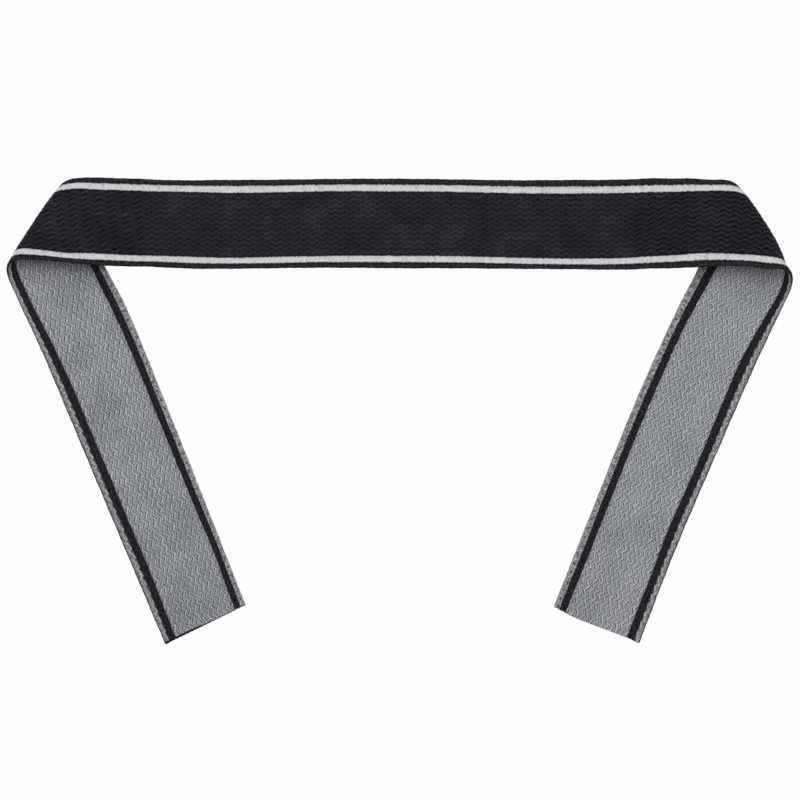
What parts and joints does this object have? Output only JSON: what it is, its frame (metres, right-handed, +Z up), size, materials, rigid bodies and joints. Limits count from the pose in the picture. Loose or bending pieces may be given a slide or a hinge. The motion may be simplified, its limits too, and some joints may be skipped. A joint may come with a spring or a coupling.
{
  "type": "armband",
  "caption": "Narrow woven cloth cuff band with two light stripes and a zigzag ground, folded back at both sides so that its two tails lie flat",
  "frame": {"origin": "middle of the base of the bounding box, on the surface that the band lies on", "axes": "+X along the front stretch to the right, +Y towards the upper edge of the front stretch, +Z up from the surface"},
  "size_m": [0.239, 0.1424, 0.0105],
  "materials": {
    "woven_cloth": "woven, matt"
  },
  "bodies": {
    "root": {"band": "woven_cloth"}
  },
  "joints": []
}
